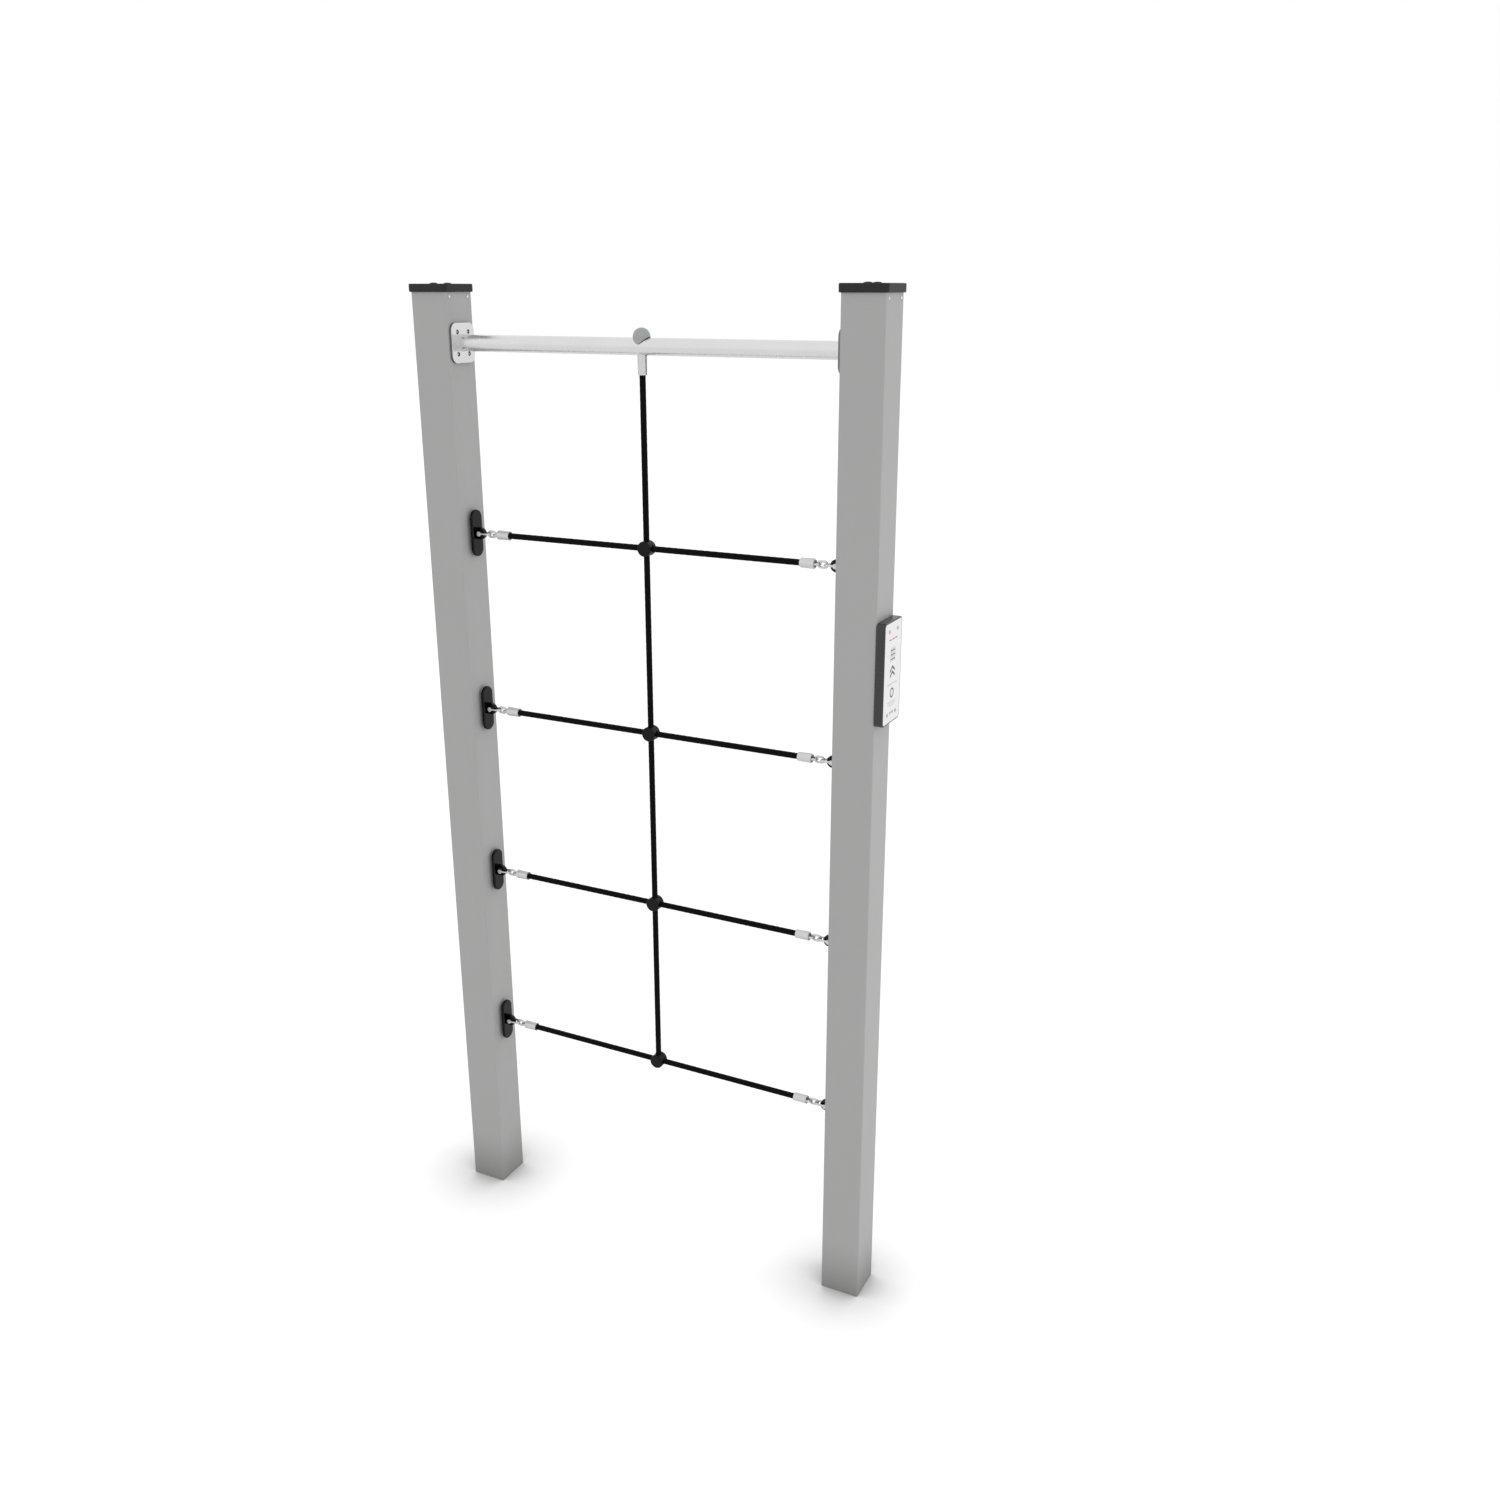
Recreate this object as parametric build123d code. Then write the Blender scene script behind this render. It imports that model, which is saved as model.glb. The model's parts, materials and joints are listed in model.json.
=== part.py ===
from build123d import *
import os
from math import sqrt

# Outdoor fitness station: two square posts, a pull-up bar and a climbing net of taut rope.
# Millimetres, +Z up. The origin is on the ground, midway between the posts, which stand
# along X. The net hangs in the plane Y = 0, and the sign is on the right post's outer face.
# Every piece at a post is built for the right post, and the left one is its mirror image.

# Whole station
post_spacing = 1210.0        # between the post axes
bar_height = 2555.0          # ground to the bar's axis
post_rise = 127.0            # bar's axis to the post's top edge
row_pitch = 500.0            # between the net's rows, and from the top row to the bar
row_count = 4

# Shared fits
overrun = 1.0                # how far a cut runs past the face that it opens
thread_fit = 0.05            # radial gap round a thread or a swaged rope
hole_gap = 0.5               # radial gap round a bolt in a clearance hole

# Posts: square steel tube
post_width = 110.0
post_wall = 4.0
post_corner = 4.0
post_inner_corner = 1.5

# Foot plates, welded inside the posts, each with threaded anchor holes open below
foot_thickness = 15.0
foot_fit = 0.5
foot_hole_width = 12.0
foot_hole_spacing = 60.0

# Post caps
cap_overhang = 6.0
cap_height = 20.5
cap_corner = 10.0
cap_edge_round = 3.0
cap_top = 4.5
cap_skirt_depth = 25.0
cap_skirt_wall = 3.0
cap_skirt_fit = 0.3

# Plugs in the caps
plug_width = 20.5
plug_side = 1.3
plug_rise = 1.8
plug_spacing = 58.0
plug_peg_width = 8.0
plug_peg_length = 6.0

# Screws that hold the caps, through the post's outer and inner faces
cap_screw_head_width = 7.5
cap_screw_head_side = 0.8
cap_screw_head_rise = 1.2
cap_screw_thread = 4.0
cap_screw_length = 9.0
cap_screw_spacing = 76.0
cap_screw_drop = 11.0

# Pull-up bar and its flanges
bar_width = 42.4
bar_wall = 3.0
flange_width = 95.0
flange_height = 102.0
flange_thickness = 7.0
flange_corner = 20.0
flange_edge_round = 1.0
flange_bolt_spread_y = 45.0
flange_bolt_spread_z = 56.0

# Bolts and blind rivet nuts of the flanges and the sign
bolt_thread = 6.0
bolt_head_width = 9.0
bolt_head_side = 1.0
bolt_head_rise = 2.5
bolt_recess_gap = 1.2
rivet_nut_wall = 1.5
rivet_nut_length = 16.0
rivet_nut_bulge = 2.0
rivet_nut_bulge_length = 2.5
bolt_end_gap = 1.5

# Rope anchor in the middle of the bar: stud, nut, cover cap and ferrule
stud_width = 12.0
stud_depth = 12.0
stud_tip = 2.0
anchor_nut_flats = 18.0
anchor_nut_height = 10.0
anchor_cap_width = 44.0
anchor_cap_rise = 45.0       # bar axis to the cap's top
anchor_cap_gap = 1.6
anchor_nut_gap = 0.2
anchor_ferrule_length = 46.8
anchor_ferrule_lap_share = 1 / 3   # of the bar's radius, how far the ferrule reaches up beside it

# Ropes
rope_width = 16.0
top_grip = 15.0
top_rope_gap = 0.6
rope_tail = 12.0             # how far the upright rope runs past the lowest row's axis
rope_tip_gap = 1.5

# Crossing clamps, each of two shells pinned together
clamp_rope_gap = 1.2
clamp_face_wall = 7.8
clamp_pin_width = 3.0
clamp_pin_web = 0.8
clamp_pin_length = 10.0
clamp_outer_wall = 2.2
clamp_edge_round = 4.0
clamp_mouth_depth = 5.5      # of the pointed mouths where the ropes leave
clamp_mouth_wall = 1.5       # between a mouth's points and the clamp's faces

# Rope brackets, with packers behind the left ones
plate_width = 44.0
plate_height = 128.0
plate_thickness = 7.5
plate_edge_round = 3.0
lug_reach = 11.0             # plate's front to the shackle pin
lug_radius = 16.0
lug_thickness = 8.0
lug_hole_chamfer = 1.0
bracket_stud_width = 8.0
bracket_stud_spacing = 80.0
bracket_stud_tip = 3.0
bracket_nut_flats = 13.0
bracket_nut_height = 6.5
packer_width = 20.0
packer_height = 104.0
packer_thickness = 9.0

# Shackle, ring and eye between a bracket and its rope
link_wire = 6.0
link_gap = 0.1
lug_side_gap = 2.5
lug_tip_gap = 5.9
ear_wall = 3.5
ear_outset = 0.3
pin_head_width = 10.0
pin_head_length = 4.0
pin_tip = 0.5
ring_slack = 6.5
ring_side_gap = 1.5
eye_side_gap = 1.0
eye_reach = 13.2             # eye wire's far point to the ferrule

# Side ferrules
ferrule_wall = 1.5
eye_leg_depth = 10.0
ferrule_web = 3.0
side_grip = 26.0
ferrule_chamfer = 1.5
rib_width = 3.0
rib_rise_closed = 1.5
rib_rise_open = 0.6

# Sign
sign_width = 116.0
sign_length = 258.0
sign_depth = 22.5
sign_height = 1808.0         # ground to the sign's centre
sign_corner = 12.0
sign_edge_round = 2.0
sign_wall = 3.0
panel_inset = 4.0
panel_thickness = 2.0
sign_screw_spread_y = 54.0
sign_screw_spread_z = 208.0
sign_screw_head_side = 0.5
sign_screw_head_rise = 2.0
sign_boss_wall = 3.0

# Places worked out from the sizes above
post_height = bar_height + post_rise
post_x = post_spacing / 2
post_face = post_x - post_width / 2
post_outer_face = post_x + post_width / 2
post_bore = post_width - 2 * post_wall
rows = [bar_height - row_pitch * (index + 1) for index in range(row_count)]

rivet_nut_width = bolt_thread + 2 * (thread_fit + rivet_nut_wall)
rivet_hole_width = rivet_nut_width + 2 * thread_fit
bolt_recess_depth = bolt_head_side + bolt_head_rise
bolt_recess_width = bolt_head_width + 2 * bolt_recess_gap

bar_bottom = bar_height - bar_width / 2
bar_top = bar_height + bar_width / 2
net_pivot_z = bar_bottom - anchor_ferrule_length

clamp_bore_width = rope_width + 2 * clamp_rope_gap
clamp_pin_place = clamp_bore_width / 2 + clamp_pin_web + clamp_pin_width / 2
clamp_width = 2 * (sqrt(2) * clamp_pin_place + clamp_pin_width / 2 + clamp_outer_wall)
clamp_depth = clamp_bore_width + 2 * clamp_face_wall

packers = {"left": packer_thickness, "right": 0}
sides = {"left": -1, "right": 1}

# Distances from the shackle pin's axis towards the middle of the net
shackle_inside = lug_thickness + 2 * lug_side_gap
shackle_reach = lug_radius + lug_tip_gap + link_wire + link_gap + link_wire / 2
ring_near = shackle_reach - link_wire - link_gap
ring_far = ring_near + 3 * link_wire + ring_slack
eye_far = ring_far - link_wire - link_gap
eye_inside = link_wire + 2 * eye_side_gap
ferrule_near = eye_far + eye_reach
ferrule_width = eye_inside + 2 * (link_wire + ferrule_wall)
ferrule_length = eye_leg_depth + ferrule_web + side_grip
ferrule_far = ferrule_near + ferrule_length


def rod_x(width, start, end, y=0, z=0):
    """A round rod along X, from start to end."""
    return Pos((start + end) / 2, y, z) * Rot(0, 90, 0) * Cylinder(width / 2, abs(end - start))


def rod_y(width, start, end, x=0, z=0):
    """A round rod along Y, from start to end."""
    return Pos(x, (start + end) / 2, z) * Rot(90, 0, 0) * Cylinder(width / 2, abs(end - start))


def rod_z(width, start, end, x=0, y=0):
    """A round rod along Z, from start to end."""
    return Pos(x, y, (start + end) / 2) * Cylinder(width / 2, abs(end - start))


def dome(width, rise):
    """A round cap of a sphere, standing on the plane Z = 0."""
    radius = (width * width / 4 + rise * rise) / (2 * rise)
    return split(Pos(0, 0, rise - radius) * Sphere(radius), bisect_by=Plane.XY, keep=Keep.TOP)


def screw(head_width, head_side, head_rise, thread, length):
    """A round-headed screw that points down, with the underside of its head at Z = 0."""
    head = rod_z(head_width, 0, head_side) + Pos(0, 0, head_side) * dome(head_width, head_rise)
    return head + rod_z(thread, -length, 0)


def hex_nut(flats, height, thread):
    """A nut that stands on the plane Z = 0."""
    outline = RegularPolygon(flats / 2, 6, major_radius=False) - Circle(thread / 2 + thread_fit)
    return extrude(outline, height)


def group(solids):
    """Separate solids that share one node."""
    return Compound(children=[solid for solid in solids])


def to_side(shape, side):
    """A shape built at the right post, or its mirror image at the left one."""
    return shape if side == "right" else mirror(shape, about=Plane.YZ)


def corners(spread_y, spread_z, centre_z):
    """The four places of a rectangle in the plane YZ."""
    return [(y * spread_y / 2, centre_z + z * spread_z / 2) for y in (-1, 1) for z in (-1, 1)]


def pair(spread, centre=0):
    """Two places on each side of a centre."""
    return [centre - spread / 2, centre + spread / 2]


def net_wall_hole(width, y, z):
    """A hole through the post's wall on the side of the net."""
    return rod_x(width, post_face - overrun, post_face + post_wall + overrun, y, z)


def outer_wall_hole(width, y, z):
    """A hole through the post's wall on the side away from the net."""
    return rod_x(width, post_outer_face - post_wall - overrun, post_outer_face + overrun, y, z)


flange_bolts = corners(flange_bolt_spread_y, flange_bolt_spread_z, bar_height)
sign_screws = corners(sign_screw_spread_y, sign_screw_spread_z, sign_height)
cap_screw_z = post_height - cap_screw_drop


def post(side):
    """Square tube with the holes of everything that is fastened to it."""
    outline = RectangleRounded(post_width, post_width, post_corner)
    bore = RectangleRounded(post_bore, post_bore, post_inner_corner)
    tube = Pos(post_x, 0, 0) * extrude(outline - bore, post_height)
    stud_hole = bracket_stud_width + 2 * hole_gap
    screw_hole = cap_screw_thread + 2 * hole_gap
    holes = [net_wall_hole(stud_hole, 0, z) for row in rows for z in pair(bracket_stud_spacing, row)]
    holes += [net_wall_hole(rivet_hole_width, y, z) for y, z in flange_bolts]
    holes += [net_wall_hole(screw_hole, y, cap_screw_z) for y in pair(cap_screw_spacing)]
    holes += [outer_wall_hole(screw_hole, y, cap_screw_z) for y in pair(cap_screw_spacing)]
    if side == "right":
        holes += [outer_wall_hole(rivet_hole_width, y, z) for y, z in sign_screws]
    return to_side(tube - holes, side)


def foot_plate(side):
    """Plate inside the post's foot, flush with the ground, with threaded anchor holes."""
    width = post_bore - 2 * foot_fit
    plate = extrude(RectangleRounded(width, width, post_inner_corner), foot_thickness)
    holes = [rod_z(foot_hole_width, -overrun, foot_thickness + overrun, x, y)
             for x in pair(foot_hole_spacing) for y in pair(foot_hole_spacing)]
    return to_side(Pos(post_x, 0, 0) * (plate - holes), side)


def post_cap(side):
    """Moulded cap whose skirt goes down into the post."""
    width = post_width + 2 * cap_overhang
    skirt_width = post_bore - 2 * cap_skirt_fit
    cavity_width = skirt_width - 2 * cap_skirt_wall
    lid = extrude(RectangleRounded(width, width, cap_corner), cap_height)
    rims = lid.edges().group_by(Axis.Z)
    lid = fillet(rims[0] + rims[-1], cap_edge_round)
    skirt = extrude(RectangleRounded(skirt_width, skirt_width, post_inner_corner), -cap_skirt_depth)
    cavity_height = cap_skirt_depth + overrun + cap_height - cap_top
    cavity = Pos(0, 0, -cap_skirt_depth - overrun) * extrude(Rectangle(cavity_width, cavity_width),
                                                              cavity_height)
    peg_hole = plug_peg_width + 2 * thread_fit
    cuts = [cavity]
    cuts += [rod_z(peg_hole, 0, cap_height + overrun, 0, y) for y in pair(plug_spacing)]
    cuts += [rod_x(cap_screw_thread + 2 * thread_fit, -skirt_width, skirt_width, y, -cap_screw_drop)
             for y in pair(cap_screw_spacing)]
    return to_side(Pos(post_x, 0, post_height) * (lid + skirt - cuts), side)


def cap_plugs():
    """Domed plugs pushed into the tops of both caps."""
    plug = rod_z(plug_width, 0, plug_side) + Pos(0, 0, plug_side) * dome(plug_width, plug_rise)
    plug += rod_z(plug_peg_width, -plug_peg_length, 0)
    return group(to_side(Pos(post_x, y, post_height + cap_height) * plug, side)
                 for side in sides for y in pair(plug_spacing))


def cap_screws():
    """Screws through the posts' walls into the skirts of the caps."""
    one = screw(cap_screw_head_width, cap_screw_head_side, cap_screw_head_rise,
                cap_screw_thread, cap_screw_length)
    faces = [(post_outer_face, 90), (post_face, -90)]
    return group(to_side(Pos(x, y, cap_screw_z) * Rot(0, turn, 0) * one, side)
                 for side in sides for x, turn in faces for y in pair(cap_screw_spacing))


def top_bar():
    """Round tube between the flanges, drilled for the rope's stud."""
    half = post_face - flange_thickness
    tube = rod_x(bar_width, -half, half, 0, bar_height)
    bore = rod_x(bar_width - 2 * bar_wall, -half - overrun, half + overrun, 0, bar_height)
    stud_hole = rod_z(stud_width + 2 * hole_gap, bar_bottom - overrun, bar_top + overrun)
    return tube - bore - stud_hole


def bar_flange(side):
    """Plate welded to the bar's end, with recesses for the bolt heads."""
    face = Plane.YZ.offset(post_face - flange_thickness)
    outline = RectangleRounded(flange_width, flange_height, flange_corner)
    plate = extrude(face * Pos(0, bar_height) * outline, flange_thickness)
    plate = fillet(plate.edges().group_by(Axis.X)[0], flange_edge_round)
    front = post_face - flange_thickness
    cuts = [rod_x(bolt_recess_width, front - overrun, front + bolt_recess_depth, y, z)
            for y, z in flange_bolts]
    cuts += [rod_x(bolt_thread + 2 * hole_gap, front, post_face + overrun, y, z)
             for y, z in flange_bolts]
    return to_side(plate - cuts, side)


def all_flange_bolts():
    """Bolts that hold both flanges to the posts."""
    seat = post_face - flange_thickness + bolt_recess_depth
    length = post_face - seat + rivet_nut_length - bolt_end_gap
    one = screw(bolt_head_width, bolt_head_side, bolt_head_rise, bolt_thread, length)
    return group(to_side(Pos(seat, y, z) * Rot(0, -90, 0) * one, side)
                 for side in sides for y, z in flange_bolts)


def rivet_nuts():
    """Blind rivet nuts set in the posts' walls, for the flange bolts and the sign's screws."""
    body = rod_z(rivet_nut_width, -rivet_nut_length, 0)
    bulge = rod_z(rivet_nut_width + 2 * rivet_nut_bulge,
                  -post_wall - rivet_nut_bulge_length, -post_wall)
    bore = rod_z(bolt_thread + 2 * thread_fit, -rivet_nut_length - overrun, overrun)
    one = body + bulge - bore
    nuts = [to_side(Pos(post_face, y, z) * Rot(0, -90, 0) * one, side)
            for side in sides for y, z in flange_bolts]
    nuts += [Pos(post_outer_face, y, z) * Rot(0, 90, 0) * one for y, z in sign_screws]
    return group(nuts)


def anchor_stud():
    """Threaded stud from the ferrule up through the bar to the nut."""
    return rod_z(stud_width, bar_bottom - stud_depth, bar_top + anchor_nut_height + stud_tip)


def anchor_nut():
    """Nut on top of the bar."""
    return Pos(0, 0, bar_top) * hex_nut(anchor_nut_flats, anchor_nut_height, stud_width)


def anchor_cap():
    """Round-topped cover that grips the nut and straddles the bar."""
    radius = anchor_cap_width / 2
    shoulder = bar_height + anchor_cap_rise - radius
    nut_top = bar_top + anchor_nut_height
    body = rod_z(anchor_cap_width, bar_height, shoulder)
    body += Pos(0, 0, shoulder) * split(Sphere(radius), bisect_by=Plane.XY, keep=Keep.TOP)
    saddle = rod_x(bar_width + 2 * anchor_cap_gap, -anchor_cap_width, anchor_cap_width, 0, bar_height)
    pocket = RegularPolygon(anchor_nut_flats / 2 + anchor_nut_gap, 6, major_radius=False)
    nut_pocket = Pos(0, 0, bar_height) * extrude(pocket, nut_top - bar_height)
    tip_pocket = rod_z(stud_width + 2 * hole_gap, bar_height, nut_top + stud_tip + hole_gap)
    return body - saddle - nut_pocket - tip_pocket


def ferrule(length, far_end_cut):
    """Swaged ferrule that stands on the rope's end at Z = 0, with a flash rib on each side."""
    radius = ferrule_width / 2
    rib_top = length - far_end_cut
    body = extrude(Circle(radius), length)
    if far_end_cut:
        body = chamfer(body.edges().group_by(Axis.Z)[-1], far_end_cut)
    open_half = radius + rib_rise_open
    closed_half = radius + rib_rise_closed
    side_view = Polygon((-open_half, 0), (open_half, 0), (closed_half, rib_top),
                        (-closed_half, rib_top), align=None)
    rib = extrude(Plane.XZ * side_view, rib_width / 2, both=True)
    return body + rib


def top_ferrule():
    """Ferrule of the upright rope, seated under the bar."""
    seat_height = bar_height - net_pivot_z
    body = Pos(0, 0, net_pivot_z) * ferrule(seat_height, 0)
    bar_seat = rod_x(bar_width, -ferrule_width, ferrule_width, 0, bar_height)
    top = bar_bottom + anchor_ferrule_lap_share * bar_width / 2
    above_bar = rod_z(2 * ferrule_width, top, bar_height + overrun)
    rope_bore = rod_z(rope_width + 2 * top_rope_gap, net_pivot_z - overrun,
                      net_pivot_z + top_grip + top_rope_gap)
    stud_bore = rod_z(stud_width + 2 * thread_fit, bar_bottom - stud_depth - thread_fit, bar_height)
    return body - bar_seat - above_bar - rope_bore - stud_bore


def upright_rope():
    """Rope from the top ferrule down through every clamp."""
    return rod_z(rope_width, rows[-1] - rope_tail, net_pivot_z + top_grip)


def clamp(z):
    """Two shells, front and back, pinned together round the crossing of two ropes."""
    half = clamp_depth / 2
    round_body = rod_y(clamp_width, -half, half)
    rims = round_body.edges().group_by(Axis.Y)
    round_body = fillet(rims[0] + rims[-1], clamp_edge_round)
    across = rod_x(clamp_bore_width, -clamp_width, clamp_width)
    along = rod_z(rope_width + 2 * thread_fit, -clamp_width, clamp_width)
    mouth_half = half - clamp_mouth_wall
    bore_half = clamp_bore_width / 2
    outline = Polygon((mouth_half, 0), (0, bore_half), (-mouth_half, 0), (0, -bore_half), align=None)
    inner_end = clamp_width / 2 - clamp_mouth_depth
    mouth = extrude(Plane.YZ.offset(inner_end) * outline, clamp_mouth_depth + overrun)
    mouths = [Rot(0, turn, 0) * mouth for turn in (0, 90, 180, 270)]
    body = round_body - across - along - mouths
    front = split(body, bisect_by=Plane.XZ, keep=Keep.TOP)
    back = split(body, bisect_by=Plane.XZ, keep=Keep.BOTTOM)
    places = [(x, z_) for x in pair(2 * clamp_pin_place) for z_ in pair(2 * clamp_pin_place)]
    pins = [rod_y(clamp_pin_width, -clamp_pin_web, clamp_pin_length, x, z_) for x, z_ in places]
    holes = [rod_y(clamp_pin_width + 2 * thread_fit, -overrun, clamp_pin_length + thread_fit, x, z_)
             for x, z_ in places]
    return group(Pos(0, 0, z) * shell for shell in (front + pins, back - holes))


def rope_bracket(side, z):
    """Oval plate with a lug for the shackle in front and two studs behind."""
    front = post_face - packers[side] - plate_thickness
    pin_x = front - lug_reach
    plate = extrude(Plane.YZ.offset(front) * Rot(0, 0, 90) * SlotOverall(plate_height, plate_width),
                    plate_thickness)
    plate = fillet(plate.edges().group_by(Axis.X)[0], plate_edge_round)
    lug = rod_y(2 * lug_radius, -lug_thickness / 2, lug_thickness / 2, pin_x)
    neck_length = lug_reach + plate_thickness / 2
    lug += Pos(pin_x + neck_length / 2, 0, 0) * Box(neck_length, lug_thickness, 2 * lug_radius)
    stud_end = post_face + post_wall + bracket_nut_height + bracket_stud_tip
    studs = [rod_x(bracket_stud_width, front + plate_thickness / 2, stud_end, 0, place)
             for place in pair(bracket_stud_spacing)]
    hole_width = link_wire + 2 * hole_gap
    hole = rod_y(hole_width, -lug_thickness, lug_thickness, pin_x)
    bevels = [Pos(pin_x, way * (lug_thickness - lug_hole_chamfer) / 2, 0) * Rot(-90 * way, 0, 0)
              * Cone(hole_width / 2, hole_width / 2 + lug_hole_chamfer, lug_hole_chamfer)
              for way in (-1, 1)]
    return to_side(Pos(0, 0, z) * (plate + lug + studs - hole - bevels), side)


def bracket_packers():
    """Packers that hold the left brackets off the post."""
    face = Plane.YZ.offset(post_face - packer_thickness)
    outline = Rot(0, 0, 90) * SlotOverall(packer_height, packer_width)
    holes = [Pos(0, place) * Circle(bracket_stud_width / 2 + hole_gap)
             for place in pair(bracket_stud_spacing)]
    one = extrude(face * (outline - holes), packer_thickness)
    return group(to_side(Pos(0, 0, row) * one, "left") for row in rows)


def bracket_nuts():
    """Nuts of the bracket studs, inside the posts."""
    one = Rot(0, 90, 0) * hex_nut(bracket_nut_flats, bracket_nut_height, bracket_stud_width)
    return group(to_side(Pos(post_face + post_wall, 0, z) * one, side)
                 for side in sides for row in rows for z in pair(bracket_stud_spacing, row))


def bent_wire(inside, far_x, open_x):
    """Link wire bent into a U in the plane XY, from its open end at open_x round to far_x."""
    radius = (inside + link_wire) / 2
    way = 1 if open_x > far_x else -1
    turn_x = far_x + way * radius
    path = Line((open_x, radius), (turn_x, radius))
    path += ThreePointArc((turn_x, radius), (far_x, 0), (turn_x, -radius))
    path += Line((turn_x, -radius), (open_x, -radius))
    start = Plane(origin=(open_x, radius, 0), z_dir=(-way, 0, 0))
    return sweep(start * Circle(link_wire / 2), path=path)


def shackle(pin_x):
    """Bow of the shackle, with an ear on each side of the lug."""
    inner = shackle_inside / 2 - ear_outset
    outer = shackle_inside / 2 + link_wire + ear_outset
    ear_width = link_wire + 2 * ear_wall
    bow = bent_wire(shackle_inside, pin_x - shackle_reach, pin_x)
    ears = [rod_y(ear_width, way * inner, way * outer, pin_x) for way in (-1, 1)]
    return bow + ears - rod_y(link_wire + 2 * thread_fit, -outer - overrun, outer + overrun, pin_x)


def shackle_pin(pin_x):
    """Pin through the ears and the lug, with its head at the back."""
    outer = shackle_inside / 2 + link_wire + ear_outset
    shank = rod_y(link_wire, -outer - pin_tip, outer, pin_x)
    return shank + rod_y(pin_head_width, outer, outer + pin_head_length, pin_x)


def ring(pin_x):
    """Upright ring between the shackle and the eye."""
    inside = link_wire + 2 * ring_side_gap
    far_x = pin_x - ring_far
    near_x = pin_x - ring_near
    middle_x = (far_x + near_x) / 2
    loop = bent_wire(inside, far_x, middle_x) + bent_wire(inside, near_x, middle_x)
    return Rot(90, 0, 0) * loop


def eye(pin_x):
    """Wire eye whose bend faces the post and whose two legs are swaged into the ferrule."""
    return bent_wire(eye_inside, pin_x - eye_far, pin_x - ferrule_near - eye_leg_depth)


def pin_axis(side):
    """X of the shackle pins on one side, taken as a distance from the middle."""
    return post_face - packers[side] - plate_thickness - lug_reach


def links(side, z):
    """Shackle, its pin, the ring and the wire eye of one rope end."""
    pin_x = pin_axis(side)
    solids = (shackle(pin_x), shackle_pin(pin_x), ring(pin_x), eye(pin_x))
    return group(to_side(Pos(0, 0, z) * solid, side) for solid in solids)


def side_ferrule(side, z):
    """Ferrule that joins a half rope to its wire eye."""
    pin_x = pin_axis(side)
    rope_end_x = pin_x - ferrule_far
    body = Pos(rope_end_x, 0, 0) * Rot(0, 90, 0) * ferrule(ferrule_length, ferrule_chamfer)
    rope_bore = rod_x(rope_width + 2 * thread_fit, rope_end_x - overrun, rope_end_x + side_grip)
    hole_width = link_wire + 2 * thread_fit
    leg_holes = [rod_x(hole_width, pin_x - ferrule_near - eye_leg_depth, pin_x - ferrule_near + overrun, y)
                 for y in pair(eye_inside + link_wire)]
    return to_side(Pos(0, 0, z) * (body - rope_bore - leg_holes), side)


def half_rope(side, z):
    """Straight rope from a side ferrule into the clamp."""
    tip = rope_width / 2 + rope_tip_gap
    return to_side(rod_x(rope_width, tip, pin_axis(side) - ferrule_far + side_grip, 0, z), side)


def sign_case():
    """Moulded case, open towards the post, with a shallow recess for the panel."""
    outline = RectangleRounded(sign_width, sign_length, sign_corner)
    back = Plane.YZ.offset(post_outer_face)
    case = extrude(back * outline, sign_depth)
    case = fillet(case.edges().group_by(Axis.X)[-1], sign_edge_round)
    inner = RectangleRounded(sign_width - 2 * sign_wall, sign_length - 2 * sign_wall,
                             sign_corner - sign_wall)
    floor = post_outer_face + sign_depth - panel_thickness
    cavity = extrude(Plane.YZ.offset(post_outer_face - overrun) * inner,
                     sign_depth - panel_thickness - sign_wall + overrun)
    recess = extrude(Plane.YZ.offset(floor) * panel_outline(), panel_thickness + overrun)
    places = corners(sign_screw_spread_y, sign_screw_spread_z, 0)
    hole_width = bolt_thread + 2 * hole_gap
    bosses = [rod_x(hole_width + 2 * sign_boss_wall, post_outer_face, floor, y, z) for y, z in places]
    holes = [rod_x(hole_width, post_outer_face - overrun, floor + overrun, y, z) for y, z in places]
    return Pos(0, 0, sign_height) * (case - cavity - recess + bosses - holes)


def panel_outline():
    """Outline of the sign's face panel."""
    return RectangleRounded(sign_width - 2 * panel_inset, sign_length - 2 * panel_inset,
                            sign_corner - panel_inset)


def sign_panel():
    """Flat face panel in the case's recess."""
    floor = post_outer_face + sign_depth - panel_thickness
    panel = extrude(Plane.YZ.offset(floor) * panel_outline(), panel_thickness)
    holes = [rod_x(bolt_thread + 2 * hole_gap, floor - overrun, floor + panel_thickness + overrun, y, z)
             for y, z in corners(sign_screw_spread_y, sign_screw_spread_z, 0)]
    return Pos(0, 0, sign_height) * (panel - holes)


def all_sign_screws():
    """Screws through the panel and the case into the post's rivet nuts."""
    front = post_outer_face + sign_depth
    length = sign_depth + rivet_nut_length - bolt_end_gap
    one = screw(bolt_head_width, sign_screw_head_side, sign_screw_head_rise, bolt_thread, length)
    return group(Pos(front, y, z) * Rot(0, 90, 0) * one for y, z in sign_screws)


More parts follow.
